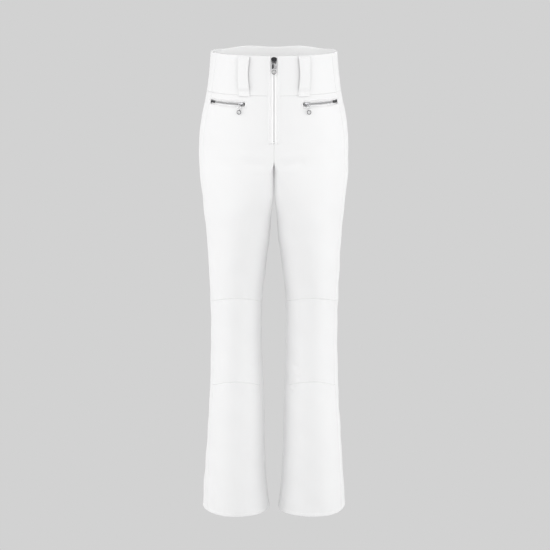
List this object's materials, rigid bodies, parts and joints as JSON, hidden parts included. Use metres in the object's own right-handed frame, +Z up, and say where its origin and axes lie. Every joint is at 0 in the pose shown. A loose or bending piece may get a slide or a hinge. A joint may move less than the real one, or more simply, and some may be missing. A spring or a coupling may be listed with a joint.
{
  "type": "ski pants",
  "caption": "Ski pants with a deep looped waistband, concealed front zip, zipped hip pockets, shaped knee panels and boot-cut legs with inner snow gaiters.",
  "frame": {"origin": "centre of the waist opening, where the wearer's waist holds the pants up", "axes": "+Z up, -Y out of the front with the fly, +X to the wearer's left"},
  "size_m": [0.332, 0.228, 1.047],
  "materials": {
    "cloth": "matt white woven soft-shell",
    "lining": "plain weave lining",
    "pocket_lining": "brushed pocketing",
    "zip_tape": "woven tape",
    "zip_coil": "moulded nylon coil",
    "stop_black": "moulded",
    "zip_metal": "polished",
    "slider_dark": "dark nickel",
    "elastic": "silicone grip on knitted elastic"
  },
  "bodies": {
    "hips": {"waistband_front_left": "cloth", "waistband_front_right": "cloth", "waistband_back": "cloth", "waistband_facing": "lining", "hip_front_left": "cloth", "hip_front_right": "cloth", "seat_back_left": "cloth", "seat_back_right": "cloth", "hip_crease_front_left": "cloth", "hip_crease_front_right": "cloth", "hip_crease_back_left": "cloth", "hip_crease_back_right": "cloth", "belt_loops": "cloth", "fly_lip_left": "cloth", "fly_lip_right": "cloth", "front_zip_tape_left": "zip_tape", "front_zip_tape_right": "zip_tape", "front_zip_coil_left": "zip_coil", "front_zip_coil_right": "zip_coil", "fly_shield": "cloth", "front_zip_top_stops": "zip_metal", "front_zip_bottom_stop": "zip_metal", "pocket_zip_tape_left": "zip_tape", "pocket_zip_coil_left": "zip_coil", "pocket_zip_stops_left": "stop_black", "pocket_welt_left": "cloth", "pocket_bag_left": "pocket_lining", "pocket_zip_tape_right": "zip_tape", "pocket_zip_coil_right": "zip_coil", "pocket_zip_stops_right": "stop_black", "pocket_welt_right": "cloth", "pocket_bag_right": "pocket_lining"},
    "thigh_left": {"thigh_front_left": "cloth", "thigh_back_left": "cloth", "knee_panel_left": "cloth", "knee_back_left": "cloth"},
    "shin_left": {"shin_front_left": "cloth", "calf_back_left": "cloth", "hem_facing_left": "lining", "snow_gaiter_left": "lining", "gaiter_elastic_left": "elastic"},
    "pocket_slider_left": {"pocket_zip_slider_left": "zip_metal"},
    "pocket_pull_left": {"pocket_zip_pull_left": "zip_metal"},
    "pocket_ring_left": {"pocket_zip_ring_left": "zip_metal"},
    "thigh_right": {"thigh_front_right": "cloth", "thigh_back_right": "cloth", "knee_panel_right": "cloth", "knee_back_right": "cloth"},
    "shin_right": {"shin_front_right": "cloth", "calf_back_right": "cloth", "hem_facing_right": "lining", "snow_gaiter_right": "lining", "gaiter_elastic_right": "elastic"},
    "pocket_slider_right": {"pocket_zip_slider_right": "zip_metal"},
    "pocket_pull_right": {"pocket_zip_pull_right": "zip_metal"},
    "pocket_ring_right": {"pocket_zip_ring_right": "zip_metal"},
    "front_slider": {"front_zip_slider": "slider_dark"},
    "front_pull": {"front_zip_pull": "zip_metal"},
    "front_ring": {"front_zip_ring": "slider_dark"}
  },
  "joints": [
    {"name": "hip_left", "type": "hinge", "parent": "hips", "child": "thigh_left", "pos_m": [0.083, 0, -0.2], "axis": [-1, 0, 0], "range_deg": [-15, 90], "deforming": ["hip_crease_front_left", "hip_crease_back_left"]},
    {"name": "knee_left", "type": "hinge", "parent": "thigh_left", "child": "shin_left", "pos_m": [0.0855, 0, -0.64], "axis": [1, 0, 0], "range_deg": [0, 90], "deforming": ["knee_panel_left", "knee_back_left"]},
    {"name": "hip_right", "type": "hinge", "parent": "hips", "child": "thigh_right", "pos_m": [-0.083, 0, -0.2], "axis": [-1, 0, 0], "range_deg": [-15, 90], "deforming": ["hip_crease_front_right", "hip_crease_back_right"]},
    {"name": "knee_right", "type": "hinge", "parent": "thigh_right", "child": "shin_right", "pos_m": [-0.0855, 0, -0.64], "axis": [1, 0, 0], "range_deg": [0, 90], "deforming": ["knee_panel_right", "knee_back_right"]},
    {"name": "front_zip", "type": "slide", "parent": "hips", "child": "front_slider", "axis": [0, -0.1047, -0.9945], "range_m": [0, 0.165]},
    {"name": "front_pull_swing", "type": "hinge", "parent": "front_slider", "child": "front_pull", "pos_m": [0, -0.09511, -0.01144], "axis": [-1, 0, 0], "range_deg": [0, 150]},
    {"name": "front_ring_swing", "type": "hinge", "parent": "front_pull", "child": "front_ring", "pos_m": [0, -0.0981, -0.03023], "axis": [-1, 0, 0], "range_deg": [0, 60]},
    {"name": "pocket_zip_left", "type": "hinge", "parent": "hips", "child": "pocket_slider_left", "pos_m": [0.0297, 0.0362, -0.1054], "axis": [0, 0, 1], "range_deg": [0, 25.9]},
    {"name": "pocket_pull_swing_left", "type": "hinge", "parent": "pocket_slider_left", "child": "pocket_pull_left", "pos_m": [0.07287, -0.09358, -0.10502], "axis": [-0.9489, -0.3156, 0], "range_deg": [0, 120]},
    {"name": "pocket_ring_swing_left", "type": "hinge", "parent": "pocket_pull_left", "child": "pocket_ring_left", "pos_m": [0.07359, -0.09573, -0.11812], "axis": [-0.9489, -0.3156, 0], "range_deg": [0, 60]},
    {"name": "pocket_zip_right", "type": "hinge", "parent": "hips", "child": "pocket_slider_right", "pos_m": [-0.0297, 0.0362, -0.1054], "axis": [0, 0, -1], "range_deg": [0, 25.9]},
    {"name": "pocket_pull_swing_right", "type": "hinge", "parent": "pocket_slider_right", "child": "pocket_pull_right", "pos_m": [-0.07287, -0.09358, -0.10502], "axis": [-0.9489, 0.3156, 0], "range_deg": [0, 120]},
    {"name": "pocket_ring_swing_right", "type": "hinge", "parent": "pocket_pull_right", "child": "pocket_ring_right", "pos_m": [-0.07359, -0.09573, -0.11812], "axis": [-0.9489, 0.3156, 0], "range_deg": [0, 60]}
  ]
}
